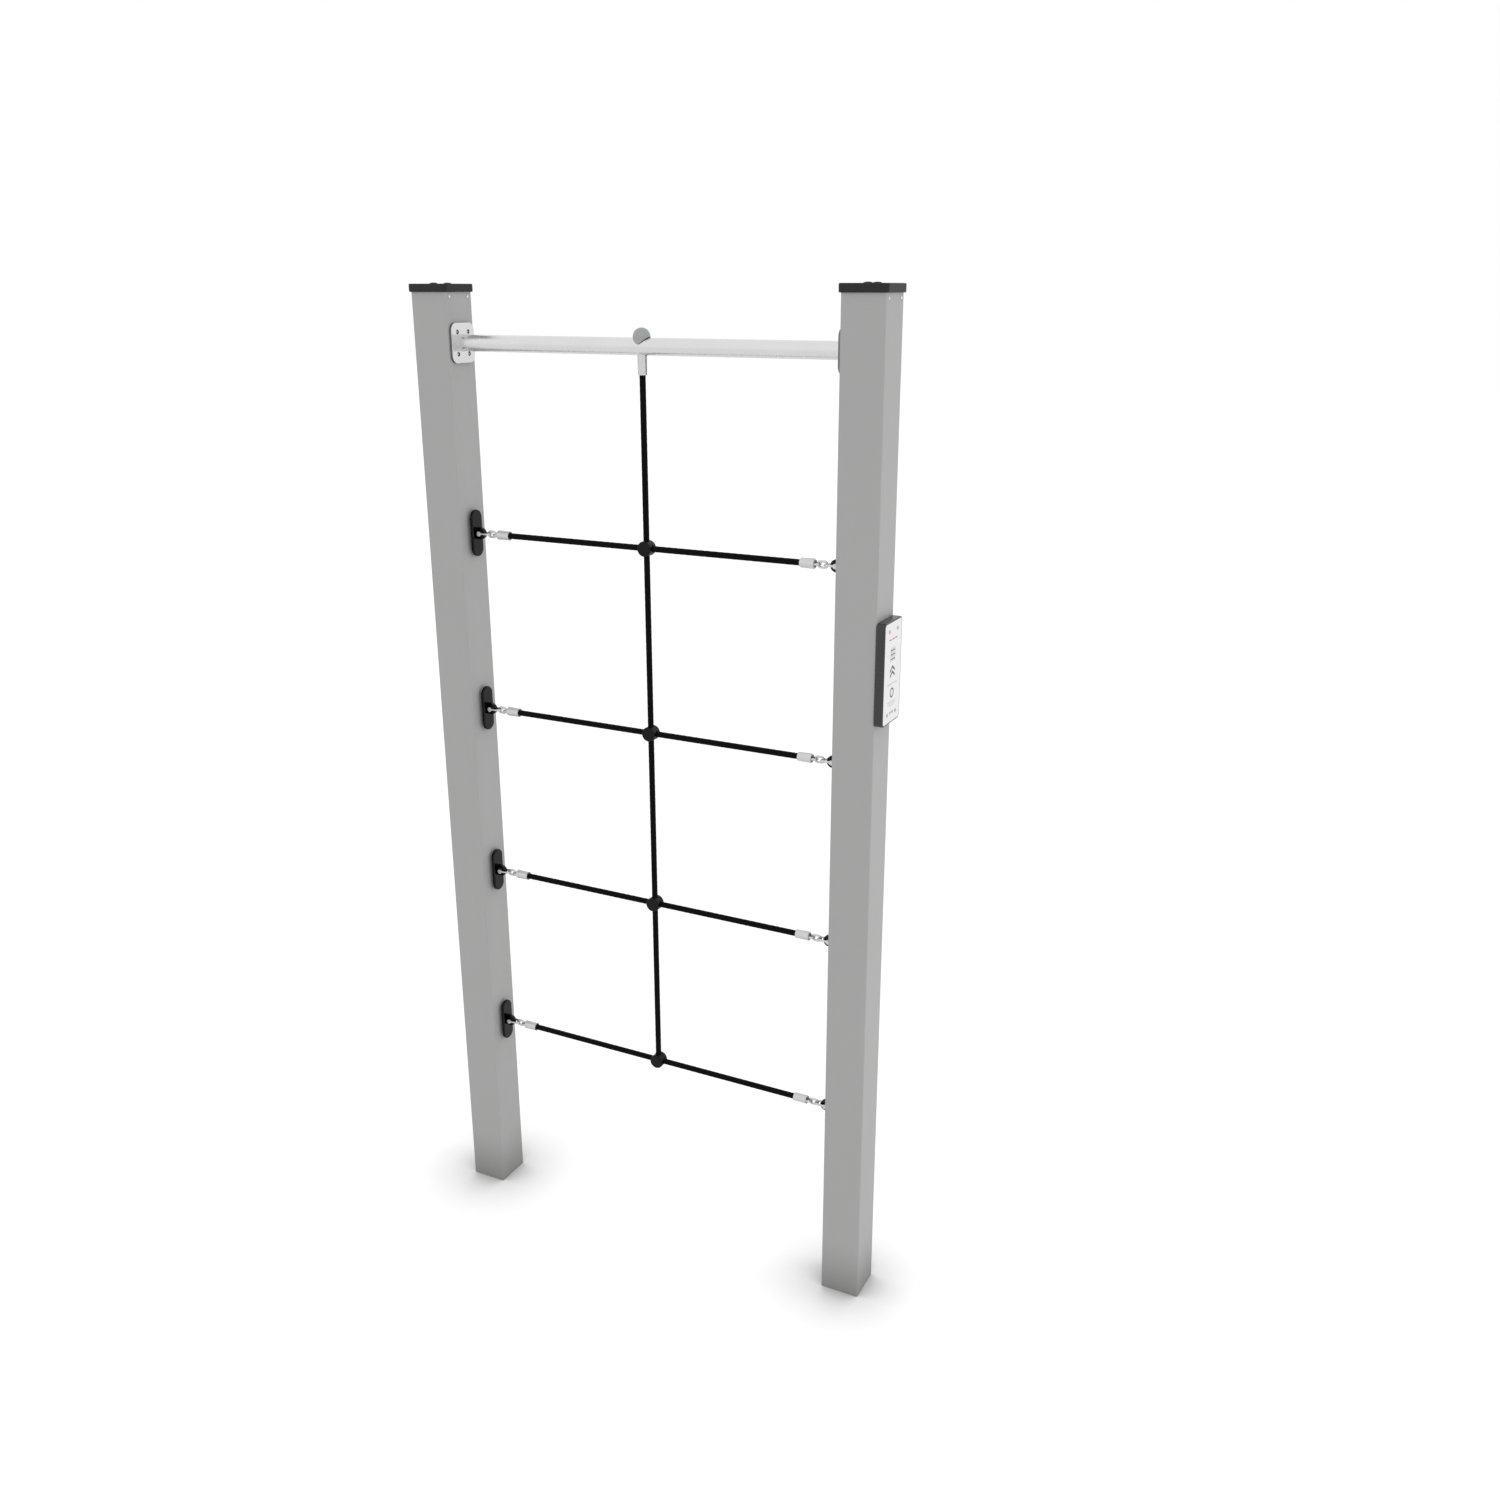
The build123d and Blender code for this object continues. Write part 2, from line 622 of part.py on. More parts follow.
def all_pieces():
    """Every node of the station by name."""
    pieces = {}
    for side in sides:
        pieces[f"post_{side}"] = post(side)
        pieces[f"foot_plate_{side}"] = foot_plate(side)
        pieces[f"post_cap_{side}"] = post_cap(side)
        pieces[f"bar_flange_{side}"] = bar_flange(side)
    pieces["cap_plugs"] = cap_plugs()
    pieces["cap_screws"] = cap_screws()
    pieces["pull_up_bar"] = top_bar()
    pieces["flange_bolts"] = all_flange_bolts()
    pieces["rivet_nuts"] = rivet_nuts()
    pieces["anchor_stud"] = anchor_stud()
    pieces["anchor_nut"] = anchor_nut()
    pieces["anchor_cap"] = anchor_cap()
    pieces["top_ferrule"] = top_ferrule()
    pieces["upright_rope"] = upright_rope()
    pieces["bracket_packers"] = bracket_packers()
    pieces["bracket_nuts"] = bracket_nuts()
    pieces["sign_case"] = sign_case()
    pieces["sign_panel"] = sign_panel()
    pieces["sign_screws"] = all_sign_screws()
    for number, z in enumerate(rows, start=1):
        pieces[f"crossing_clamp_{number}"] = clamp(z)
        for side in sides:
            pieces[f"rope_bracket_{side}_{number}"] = rope_bracket(side, z)
            pieces[f"links_{side}_{number}"] = links(side, z)
            pieces[f"ferrule_{side}_{number}"] = side_ferrule(side, z)
            pieces[f"rope_{side}_{number}"] = half_rope(side, z)
    return pieces


os.makedirs("parts", exist_ok=True)
for name, shape in all_pieces().items():
    export_step(shape, f"parts/{name}.step")

print("net pivot height", net_pivot_z)
print("row heights", rows)
for end in sides:
    print(end, "pin axis", pin_axis(end), "ferrule rope end", pin_axis(end) - ferrule_far)
print("clamp", clamp_width, "by", clamp_depth)
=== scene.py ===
import json
import math

import bpy
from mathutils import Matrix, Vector

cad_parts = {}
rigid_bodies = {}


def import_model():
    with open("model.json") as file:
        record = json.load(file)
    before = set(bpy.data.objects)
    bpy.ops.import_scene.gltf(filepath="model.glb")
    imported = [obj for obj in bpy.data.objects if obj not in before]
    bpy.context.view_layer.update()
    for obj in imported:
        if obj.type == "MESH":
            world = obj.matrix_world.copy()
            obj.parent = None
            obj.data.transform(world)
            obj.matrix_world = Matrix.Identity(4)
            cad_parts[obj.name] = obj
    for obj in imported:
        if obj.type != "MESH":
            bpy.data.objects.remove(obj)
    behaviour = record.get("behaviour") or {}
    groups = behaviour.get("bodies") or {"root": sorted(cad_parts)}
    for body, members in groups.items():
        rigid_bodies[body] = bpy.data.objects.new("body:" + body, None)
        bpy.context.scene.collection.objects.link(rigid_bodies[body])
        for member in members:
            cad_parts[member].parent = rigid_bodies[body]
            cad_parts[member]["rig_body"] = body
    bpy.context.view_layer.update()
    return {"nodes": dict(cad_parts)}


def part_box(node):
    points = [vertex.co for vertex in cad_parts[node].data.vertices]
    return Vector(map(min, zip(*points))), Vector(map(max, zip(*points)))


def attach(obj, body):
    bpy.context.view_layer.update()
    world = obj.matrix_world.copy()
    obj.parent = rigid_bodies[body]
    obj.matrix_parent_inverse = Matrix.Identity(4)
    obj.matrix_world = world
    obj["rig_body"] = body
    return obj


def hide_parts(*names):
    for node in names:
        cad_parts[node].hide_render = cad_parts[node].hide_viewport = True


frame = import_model()
nodes = frame["nodes"]

# The view is a product view: from the right and above head height, turned a little down.
# The picture is square, on 36 mm film.
film_width = 36.0
lens_length = 33.2592
camera_place = (1.8137, -3.0664, 2.6905)
level_tilt = 90.0
camera_down = 18.4182
camera_turn = 26.3156
camera = bpy.data.objects.new("camera", bpy.data.cameras.new("camera"))
camera.data.sensor_width = film_width
camera.data.lens = lens_length
camera.location = camera_place
camera.rotation_euler = (math.radians(level_tilt - camera_down), 0, math.radians(camera_turn))
bpy.context.scene.collection.objects.link(camera)
bpy.context.scene.camera = camera


# The net's ropes are black, of six strands of fine fibre laid round a core, 16 mm thick.
# The upright one runs from the ferrule under the bar to the lowest clamp. The row ropes run
# from the ferrules at the posts into the clamps, and all of them are pulled straight.
rope_rows = (1, 2, 3, 4)
rope_sides = ("left", "right")
rope_radius = 0.008
rope_strands = 6
strand_groove = 0.0005
strand_fullness = 0.55
strand_flats = 6
lay_length = 0.112
thread_scale = 700
thread_stretch = 0.16
thread_relief = 0.00025
thread_dark, thread_pale = (0.0008, 0.0008, 0.0009), (0.0032, 0.0032, 0.0033)
rope_dust = (0.008, 0.0079, 0.0077)
rope_dust_share = 0.2
rope_dust_scale = 22
rope_dust_range = (0.45, 0.75)
rope_roughness = (0.45, 0.7)
rope_shine = 0.06


class Link:
    """A shader socket that takes part in sums."""

    def __init__(self, tree, socket=None):
        self.tree = tree
        self.socket = socket

    def node(self, kind, settings=None, inputs=None, output=None):
        """The output of a new node, whose settings are made before its sockets."""
        made = self.tree.nodes.new(kind)
        for name, value in (settings or {}).items():
            setattr(made, name, value)
        for name, value in (inputs or {}).items():
            plug(self.tree, made.inputs, name, value)
        return Link(self.tree, find(made.outputs, output) if output else made.outputs[0])

    def math(self, operation, first, second):
        """A sum of two numbers."""
        return self.node("ShaderNodeMath", {"operation": operation},
                         {"Value": first, "Value_001": second})

    def axis(self, name):
        """One of a vector's three parts, X, Y or Z."""
        return self.node("ShaderNodeSeparateXYZ", None, {"Vector": self}, name)

    def __add__(self, other):
        return self.math("ADD", self, other)

    def __sub__(self, other):
        return self.math("SUBTRACT", self, other)

    def __rsub__(self, other):
        return self.math("SUBTRACT", other, self)

    def __mul__(self, other):
        return self.math("MULTIPLY", self, other)

    def __pow__(self, other):
        return self.math("POWER", self, other)

    def __abs__(self):
        return self.math("ABSOLUTE", self, 0.0)

    __radd__ = __add__
    __rmul__ = __mul__


def find(sockets, name):
    """The socket with this identifier or name."""
    return next(socket for socket in sockets if name in (socket.identifier, socket.name))


def plug(tree, sockets, name, value):
    """Links a value that is a link, and sets any other."""
    socket = find(sockets, name)
    if isinstance(value, Link):
        tree.links.new(value.socket, socket)
    elif isinstance(value, tuple) and socket.type == "RGBA":
        socket.default_value = (*value, 1)
    else:
        socket.default_value = value


def finish(name, varying, fixed):
    """A material: varying(point) gives the sockets that change over it, fixed the others."""
    material = bpy.data.materials.new(name)
    material.use_nodes = True
    tree = material.node_tree
    shader = tree.nodes["Principled BSDF"]
    point = Link(tree).node("ShaderNodeTexCoord", output="Object")
    for socket, value in {**varying(point), **fixed}.items():
        plug(tree, shader.inputs, socket, value)
    return material


def grain(point, scale, detail=2.0, stretch=(1, 1, 1)):
    """Noise of 0 to 1 over the surface, with scale in grains per metre."""
    moved = point.node("ShaderNodeMapping", None, {"Vector": point, "Scale": stretch})
    return moved.node("ShaderNodeTexNoise", None,
                      {"Vector": moved, "Scale": scale, "Detail": detail})


def band(value, low, high):
    """Rises smoothly from 0 to 1 as the value goes from low to high."""
    return value.node("ShaderNodeMapRange", {"interpolation_type": "SMOOTHSTEP"},
                      {"Value": value, "From Min": low, "From Max": high})


def between(mask, low, high):
    """A number that is low where the mask is 0, and high where it is 1."""
    return low + (high - low) * mask


def blend(mask, under, over):
    """The colour under where the mask is 0, and over where it is 1."""
    return mask.node("ShaderNodeMix", {"data_type": "RGBA"},
                     {"Factor_Float": mask, "A_Color": under, "B_Color": over}, "Result_Color")


def raised(height, depth):
    """A normal for a relief of this depth in metres."""
    return height.node("ShaderNodeBump", None, {"Height": height, "Distance": depth})


def add_mesh(name, corners, faces, material, body):
    """A new piece from corners in metres, shaded smooth, that moves with a body."""
    mesh = bpy.data.meshes.new(name)
    mesh.from_pydata(corners, [], faces)
    mesh.validate()
    mesh.shade_smooth()
    mesh.materials.append(material)
    piece = bpy.data.objects.new(name, mesh)
    bpy.context.scene.collection.objects.link(piece)
    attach(piece, body)
    return piece


def fibre(along):
    """Black fibre with fine threads along the rope, where along is its axis."""
    stretch = tuple(thread_stretch if axis == along else 1 for axis in "xyz")

    def surface(point):
        threads = grain(point, thread_scale, detail=3, stretch=stretch)
        dust = band(grain(point, rope_dust_scale, detail=4), *rope_dust_range)
        fresh = blend(threads, thread_dark, thread_pale)
        return {"Base Color": blend(dust * rope_dust_share, fresh, rope_dust),
                "Roughness": between(threads, *rope_roughness),
                "Normal": raised(threads, thread_relief)}

    return finish(f"rope_fibre_{along}", surface, {"Specular IOR Level": rope_shine})


def laid_rope(name, start, end, material):
    """A straight rope of laid strands between two points."""
    start, end = Vector(start), Vector(end)
    flats = rope_strands * strand_flats
    length = (end - start).length
    rings = math.ceil(length * flats / lay_length)
    turn = (end - start).to_track_quat("Z", "X")
    corners = []
    for ring in range(rings + 1):
        height = length * ring / rings
        for flat in range(flats):
            crest = abs(math.cos(rope_strands * math.pi * flat / flats)) ** strand_fullness
            radius = rope_radius - strand_groove * (1 - crest)
            angle = math.tau * (flat / flats + height / lay_length)
            corners.append(start + turn @ Vector((radius * math.cos(angle),
                                                  radius * math.sin(angle), height)))
    faces = [(ring * flats + flat, ring * flats + (flat + 1) % flats,
              (ring + 1) * flats + (flat + 1) % flats, (ring + 1) * flats + flat)
             for ring in range(rings) for flat in range(flats)]
    faces.append(tuple(reversed(range(flats))))
    faces.append(tuple(rings * flats + flat for flat in range(flats)))
    body = nodes[name]["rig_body"]
    rope = add_mesh(f"laid_{name}", corners, faces, material, body)
    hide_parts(name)
    return rope


upright_fibre = fibre("z")
level_fibre = fibre("x")
low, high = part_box("upright_rope")
laid_rope("upright_rope", (0, 0, high.z), (0, 0, low.z), upright_fibre)
for row in rope_rows:
    for side in rope_sides:
        low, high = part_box(f"rope_{side}_{row}")
        middle = (low + high) / 2
        outer, inner = (low.x, high.x) if side == "left" else (high.x, low.x)
        laid_rope(f"rope_{side}_{row}", (outer, 0, middle.z), (inner, 0, middle.z), level_fibre)


# The ground is plain and white, and keeps only the soft shadows of the feet. The light comes
# evenly from a white sky, with one tall soft lamp on the right.
def grey(depth):
    """A neutral colour, from 0 for black to 1 for white."""
    return (depth, depth, depth)


sky_white = (1, 1, 1, 1)
sky_strength = 0.93
ground_reach = 40.0
ground_white, ground_dim = grey(0.9), grey(0.16)
ground_lift = 0.24
glossy_share = 0.3
shade_reach = 0.23
shade_depth = 1.2
shade_lean = (0, 0.26, 0.966)
lamp_width = 0.8
lamp_height = 3.0
lamp_energy = 6.4
lamp_place = (2.1, 0.6, 1.2)
lamp_back = (1, 0.4, 0)

world = bpy.data.worlds.new("sky")
world.use_nodes = True
bpy.context.scene.world = world
backdrop = world.node_tree.nodes["Background"]
backdrop.inputs["Color"].default_value = sky_white
seen, glossy, through = (Link(world.node_tree).node("ShaderNodeLightPath", output=f"Is {kind} Ray")
                         for kind in ("Camera", "Glossy", "Transmission"))
plug(world.node_tree, backdrop.inputs, "Strength",
     between(seen + glossy + through, sky_strength, 1))

ground_mesh = bpy.data.meshes.new("ground")
ground_mesh.from_pydata([(x * ground_reach, y * ground_reach, 0)
                         for x, y in ((-1, -1), (1, -1), (1, 1), (-1, 1))], [], [(0, 1, 2, 3)])
ground = bpy.data.objects.new("ground", ground_mesh)
bpy.context.scene.collection.objects.link(ground)
ground_paint = bpy.data.materials.new("ground_white")
ground_paint.use_nodes = True
ground_tree = ground_paint.node_tree
ground_tree.nodes.remove(ground_tree.nodes["Principled BSDF"])
seen, glossy = (Link(ground_tree).node("ShaderNodeLightPath", output=f"Is {kind} Ray")
                for kind in ("Camera", "Glossy"))
open_sky = seen.node("ShaderNodeAmbientOcclusion", None,
                     {"Distance": shade_reach, "Normal": shade_lean}, "AO")
shade = open_sky ** shade_depth
matt = shade.node("ShaderNodeBsdfDiffuse", None, {"Color": blend(shade, ground_dim, ground_white)})
lift = shade.node("ShaderNodeEmission", None,
                  {"Strength": (seen + glossy_share * glossy) * shade * ground_lift})
both = matt.node("ShaderNodeAddShader", None, {"Shader": matt, "Shader_001": lift})
ground_tree.links.new(both.socket, ground_tree.nodes["Material Output"].inputs["Surface"])
ground_mesh.materials.append(ground_paint)

lamp = bpy.data.objects.new("soft_lamp", bpy.data.lights.new("soft_lamp", "AREA"))
lamp.data.shape = "RECTANGLE"
lamp.data.size = lamp_width
lamp.data.size_y = lamp_height
lamp.data.energy = lamp_energy
lamp.location = lamp_place
lamp.rotation_euler = Vector(lamp_back).to_track_quat("Z", "Y").to_euler()
bpy.context.scene.collection.objects.link(lamp)


# The posts are square steel tube under a silver-grey powder coat, satin, with the fine
# ripple that such a coat dries to. They are bolted down inside their feet. Over the lowest
# part the coat is painted darker, a painted shade, and made a little rougher.
coat_dark, coat_pale = (0.392, 0.392, 0.39), (0.412, 0.412, 0.41)
coat_cloud_scale = 3
coat_crest = grey(0.408)
coat_crest_share = 0.4
coat_crest_range = (0.3, 0.7)
coat_ripple_scale = 260
coat_ripple_relief = 0.00006
coat_roughness = (0.42, 0.54)
coat_shine = 0.2
# Painted shade at the feet: its grey, its share, how high it reaches, its wander, and the
# roughness it adds.
foot_shade_grey = (0.13, 0.13, 0.127)
foot_shade_share = 0.42
foot_shade_height = 0.19
foot_shade_wander = 0.02
foot_roughness = 0.2


def powder_coat(point):
    """Satin coat, a little uneven, with a fine ripple, painted darker towards the ground as
    painted shade.
    """
    ripple = grain(point, coat_ripple_scale, detail=3)
    cloud = grain(point, coat_cloud_scale, detail=3)
    paint = blend(cloud, coat_dark, coat_pale)
    coat = blend(coat_crest_share * band(ripple, *coat_crest_range), paint, coat_crest)
    # Painted shade: darker and rougher towards the ground.
    foot_shade = 1 - band(point.axis("Z") + foot_shade_wander * cloud, 0.0, foot_shade_height)
    return {"Base Color": blend(foot_shade_share * foot_shade, coat, foot_shade_grey),
            "Roughness": between(ripple, *coat_roughness) + foot_roughness * foot_shade,
            "Normal": raised(ripple, coat_ripple_relief)}


def dress(material, *names):
    """Gives CAD pieces their finish."""
    for name in names:
        mesh = nodes[name].data
        mesh.materials.clear()
        mesh.materials.append(material)


post_paint = finish("post_paint", powder_coat, {"Specular IOR Level": coat_shine})
dress(post_paint, "post_left", "post_right")


# A thick steel plate with four threaded holes is welded inside each foot, and steel nuts sit
# behind the posts' walls. All of them are zinc-plated.
zinc_dark, zinc_pale = (0.42, 0.43, 0.44), (0.6, 0.61, 0.62)
zinc_flake_scale = 160.0
zinc_roughness = (0.38, 0.58)
bare_metal = {"Metallic": 1.0}


def cells(point, scale):
    """Rounded cells, from 0 at their middles, with scale in cells per metre."""
    return point.node("ShaderNodeTexVoronoi", None, {"Vector": point, "Scale": scale}, "Distance")


def zinc(point):
    """Dull crystalline plating."""
    flakes = cells(point, zinc_flake_scale)
    return {"Base Color": blend(flakes, zinc_dark, zinc_pale),
            "Roughness": between(flakes, *zinc_roughness)}


zinc_plate = finish("zinc_plate", zinc, bare_metal)
dress(zinc_plate, "foot_plate_left", "foot_plate_right", "rivet_nuts", "bracket_nuts")


# Moulded black caps close the posts, held by small screws through the posts' walls. Their
# fine leather-like grain is moulded in.
cap_dark, cap_pale = grey(0.013), grey(0.02)
cap_haze_scale = 14
cap_pebble_scale = 620.0
cap_pebble_relief = 0.00015
cap_roughness = (0.42, 0.57)
cap_shine = 0.25


def moulded(point):
    """Black plastic with a fine pebbled grain."""
    haze = grain(point, cap_haze_scale, detail=4)
    return {"Base Color": blend(haze, cap_dark, cap_pale),
            "Roughness": between(haze, *cap_roughness),
            "Normal": raised(cells(point, cap_pebble_scale), cap_pebble_relief)}


cap_plastic = finish("cap_plastic", moulded, {"Specular IOR Level": cap_shine})
dress(cap_plastic, "post_cap_left", "post_cap_right")


# Two domed plugs are pressed into the top of each cap. They are moulded of black plastic,
# smoother than the cap itself.
smooth_dark, smooth_pale = grey(0.006), grey(0.01)
smooth_haze_scale = 90
smooth_pit_scale = 400
smooth_pit_relief = 0.00003
smooth_roughness = (0.3, 0.45)
plug_shine = 0.12


def smooth_black(point):
    """Black plastic from a polished mould."""
    haze = grain(point, smooth_haze_scale, detail=3)
    return {"Base Color": blend(haze, smooth_dark, smooth_pale),
            "Roughness": between(haze, *smooth_roughness),
            "Normal": raised(grain(point, smooth_pit_scale), smooth_pit_relief)}


plug_plastic = finish("plug_plastic", smooth_black, {"Specular IOR Level": plug_shine})
dress(plug_plastic, "cap_plugs")


# The pull-up bar is stainless tube, ground with fine rings and then polished. It is bolted to
# the posts by the flange that is welded to each end.
bar_dark, bar_pale = grey(0.69), grey(0.75)
bar_stain_scale = 9
bar_ring_scale = 1500
bar_ring_stretch = (1, 0.03, 0.03)
bar_ring_relief = 0.000003
bar_roughness = (0.22, 0.34)


def ground_tube(point):
    """Bright stainless tube with fine grinding rings."""
    rings = grain(point, bar_ring_scale, detail=3, stretch=bar_ring_stretch)
    stain = grain(point, bar_stain_scale, detail=4)
    return {"Base Color": blend(stain, bar_dark, bar_pale),
            "Roughness": between(rings, *bar_roughness),
            "Normal": raised(rings, bar_ring_relief)}


bar_steel = finish("bar_steel", ground_tube, bare_metal)
dress(bar_steel, "pull_up_bar")
bar_low, bar_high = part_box("pull_up_bar")
bar_radius = (bar_high.z - bar_low.z) / 2
bar_axis = (bar_high.z + bar_low.z) / 2


# The bar's two flanges are stainless plates, polished on their faces. Their cut edges and the
# recesses of their four bolts are rougher, and painted dark as painted shade.
bolt_spread_y = 0.045
bolt_spread_z = 0.056
recess_reach = 0.0059
recess_edge = 0.0003
flange_dark, flange_pale = grey(0.67), grey(0.73)
flange_stain_scale = 12
flange_mark_scale = 1100
flange_mark_stretch = (1, 1, 0.05)
flange_mark_relief = 0.000006
flange_roughness = (0.13, 0.21)
# Painted shade on the cut edges and in the bolt recesses: its grey, and the roughness it adds.
painted_shade_grey = grey(0.13)
dull_roughness = 0.35
rim_shade_share = 0.87
rim_shade_turn = (0.3, 0.8)


def faces_along_bar(point):
    """1 where the surface faces along the bar, and 0 where it faces across."""
    return abs(point.node("ShaderNodeTexCoord", output="Normal").axis("X"))


def polished_plate(point):
    """Polished stainless plate, rougher and with painted shade on its cut edges and in the bolt
    recesses.
    """
    marks = grain(point, flange_mark_scale, detail=3, stretch=flange_mark_stretch)
    stain = grain(point, flange_stain_scale, detail=4)
    across = abs(point.axis("Y")) - bolt_spread_y / 2
    along = abs(point.axis("Z") - bar_axis) - bolt_spread_z / 2
    reach = (across * across + along * along) ** 0.5
    # Painted shade in the bolt recesses and on the cut edges.
    recess_shade = 1 - band(reach, recess_reach - recess_edge, recess_reach)
    rim_shade = 1 - band(faces_along_bar(point), *rim_shade_turn)
    painted_shade = recess_shade + rim_shade_share * (1 - recess_shade) * rim_shade
    plate = blend(stain, flange_dark, flange_pale)
    return {"Base Color": blend(painted_shade, plate, painted_shade_grey),
            "Roughness": between(marks, *flange_roughness) + dull_roughness * painted_shade,
            "Normal": raised(marks, flange_mark_relief)}


flange_steel = finish("flange_steel", polished_plate, bare_metal)
dress(flange_steel, "bar_flange_left", "bar_flange_right")


# A fine rippled bead of weld runs round the bar where it meets each flange. It is brushed
# clean, and stays a little duller than the tube.
bead_radius = 0.0013
bead_sides = 10
bead_ripples = 92
bead_ripple_steps = 4
bead_ripple_depth = 0.0001
weld_dark, weld_pale = (0.56, 0.56, 0.55), (0.68, 0.68, 0.67)
weld_brush_scale = 500
weld_roughness = (0.24, 0.39)


def weld_metal(point):
    """Brushed-off weld."""
    brushed = grain(point, weld_brush_scale, detail=3)
    return {"Base Color": blend(brushed, weld_dark, weld_pale),
            "Roughness": between(brushed, *weld_roughness)}


weld_steel = finish("weld_steel", weld_metal, bare_metal)


def weld_bead(name, place_x):
    """A rippled ring of weld round the bar."""
    around = bead_ripple_steps * bead_ripples
    corners = []
    for step in range(around):
        angle = math.tau * step / around
        swell = bead_radius + bead_ripple_depth * math.cos(bead_ripples * angle)
        for turn in range(bead_sides):
            lean = math.tau * turn / bead_sides
            reach = bar_radius + swell * math.cos(lean)
            corners.append((place_x - swell * math.sin(lean),
                            reach * math.cos(angle), bar_axis + reach * math.sin(angle)))
    starts = [step % around * bead_sides for step in range(around + 1)]
    faces = [(here + turn, here + (turn + 1) % bead_sides,
              following + (turn + 1) % bead_sides, following + turn)
             for here, following in zip(starts, starts[1:]) for turn in range(bead_sides)]
    return add_mesh(name, corners, faces, weld_steel, "frame")


weld_bead("bar_weld_left", bar_low.x)
weld_bead("bar_weld_right", bar_high.x)


# The flange bolts, the sign's screws and the stud that carries the upright rope, with its
# nut, are stainless steel, dull as turned.
screw_dark, screw_pale = grey(0.34), grey(0.46)
screw_mark_scale = 2500
screw_roughness = (0.3, 0.45)


def turned_steel(point):
    """Machined stainless steel."""
    marks = grain(point, screw_mark_scale)
    return {"Base Color": blend(marks, screw_dark, screw_pale),
            "Roughness": between(marks, *screw_roughness)}


screw_steel = finish("screw_steel", turned_steel, bare_metal)
dress(screw_steel, "flange_bolts", "sign_screws", "anchor_stud", "anchor_nut")


# The small cap screws are stainless steel with round polished heads, two on each of the
# posts' inner and outer walls. They go through the wall into the cap's skirt.
head_dark, head_pale = grey(0.62), grey(0.76)
rub_scale = 300
head_roughness = (0.18, 0.34)


def polished_head(point):
    """Polished stainless steel with faint rubbing marks."""
    rubbed = grain(point, rub_scale, detail=3)
    return {"Base Color": blend(rubbed, head_dark, head_pale),
            "Roughness": between(rubbed, *head_roughness)}


head_steel = finish("head_steel", polished_head, bare_metal)
dress(head_steel, "cap_screws")


# A round-topped cover of grey moulded plastic sits on the bar, over the nut that holds the
# upright rope's stud.
cover_dark, cover_pale = (0.33, 0.35, 0.35), (0.38, 0.4, 0.4)
cover_haze_scale = 60
cover_pit_scale = 700
cover_pit_relief = 0.00004
cover_roughness = (0.4, 0.55)


def grey_moulding(point):
    """Mid-grey plastic with a satin mould finish."""
    haze = grain(point, cover_haze_scale, detail=4)
    return {"Base Color": blend(haze, cover_dark, cover_pale),
            "Roughness": between(haze, *cover_roughness),
            "Normal": raised(grain(point, cover_pit_scale), cover_pit_relief)}


cover_plastic = finish("cover_plastic", grey_moulding, {})
dress(cover_plastic, "anchor_cap")


# Aluminium ferrules are pressed on the ropes' ends, one under the bar and one at each end of
# a row. They are smooth from the press. Where they face along the bar, as on the row ferrules'
# sawn ends, they are rougher and painted dark as painted shade.
ferrule_dark, ferrule_pale = grey(0.62), grey(0.7)
ferrule_scratch_scale = 260
ferrule_scratch_relief = 0.00003
ferrule_roughness = (0.38, 0.52)
# Painted shade where the ferrules face along the bar: its grey, share and turn, and the added
# roughness.
end_shade_grey = grey(0.14)
end_shade_share = 0.8
end_shade_turn = (0.93, 0.97)
sawn_roughness = 0.2


def pressed_aluminium(point):
    """Bare aluminium with fine scratches, rougher and with painted shade where it faces along the
    bar.
    """
    scratch = grain(point, ferrule_scratch_scale, detail=5)
    # Painted shade on the faces that look along the bar.
    end_shade = band(faces_along_bar(point), *end_shade_turn)
    skin = blend(scratch, ferrule_dark, ferrule_pale)
    return {"Base Color": blend(end_shade_share * end_shade, skin, end_shade_grey),
            "Roughness": between(scratch, *ferrule_roughness) + sawn_roughness * end_shade,
            "Normal": raised(scratch, ferrule_scratch_relief)}


ferrule_metal = finish("ferrule_metal", pressed_aluminium, bare_metal)
dress(ferrule_metal, "top_ferrule",
      *[f"ferrule_{side}_{row}" for side in rope_sides for row in rope_rows])


# The shackles, rings and eyes are bent from stainless wire and tumbled smooth. They link each
# ferrule to the lug of its bracket.
wire_dark, wire_pale = grey(0.56), grey(0.7)
wire_roughness = (0.2, 0.36)


def smooth_wire(point):
    """Stainless wire, a little dull where it rubs."""
    rubbed = grain(point, rub_scale, detail=3)
    return {"Base Color": blend(rubbed, wire_dark, wire_pale),
            "Roughness": between(rubbed, *wire_roughness)}


wire_steel = finish("wire_steel", smooth_wire, bare_metal)
dress(wire_steel, *[f"links_{side}_{row}" for side in rope_sides for row in rope_rows])


# The rope brackets are cast in one piece with their lug, and coated glossy black. Two studs
# and nuts hold each one to its post, and the left ones stand on flat packers of smooth black
# plastic.
bracket_dark, bracket_pale = grey(0.001), grey(0.002)
bracket_ripple_scale = 120
bracket_ripple_relief = 0.00001
bracket_roughness = (0.05, 0.1)
bracket_shine = 0.22
packer_shine = 0.3


def gloss_black(point):
    """Deep black coat with a faint ripple."""
    ripple = grain(point, bracket_ripple_scale)
    return {"Base Color": blend(ripple, bracket_dark, bracket_pale),
            "Roughness": between(ripple, *bracket_roughness),
            "Normal": raised(ripple, bracket_ripple_relief)}


bracket_coat = finish("bracket_coat", gloss_black, {"Specular IOR Level": bracket_shine})
dress(bracket_coat, *[f"rope_bracket_{side}_{row}" for side in rope_sides for row in rope_rows])
packer_plastic = finish("packer_plastic", smooth_black, {"Specular IOR Level": packer_shine})
dress(packer_plastic, "bracket_packers")


